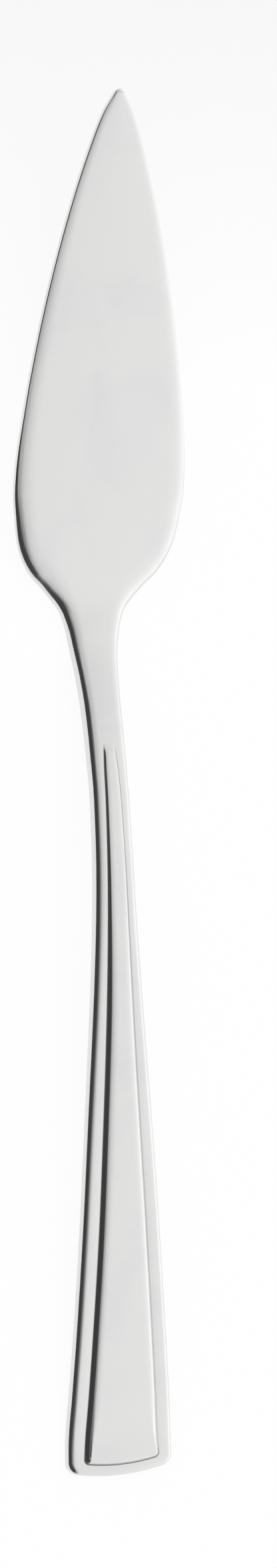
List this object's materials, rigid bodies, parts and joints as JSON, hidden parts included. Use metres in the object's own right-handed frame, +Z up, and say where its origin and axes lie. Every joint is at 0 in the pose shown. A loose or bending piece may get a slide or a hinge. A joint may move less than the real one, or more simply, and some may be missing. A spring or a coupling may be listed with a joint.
{
  "type": "fish knife",
  "caption": "Polished steel fish knife with a broad leaf blade, slim neck and flared handle with a raised tapering panel, for parting and lifting cooked fish.",
  "frame": {"origin": "on the table, under the middle of the knife's length and width, as it rests on its heel and its handle end", "axes": "+Y along the knife from the handle's end to the blade's tip, +X across it, +Z up off the table, out of the face with the raised panel"},
  "size_m": [0.0284, 0.2048, 0.0149],
  "materials": {
    "polished_steel": "stainless steel, ground and buffed to a bright satin polish, with faint handling marks"
  },
  "bodies": {
    "root": {"knife": "polished_steel"}
  },
  "joints": []
}
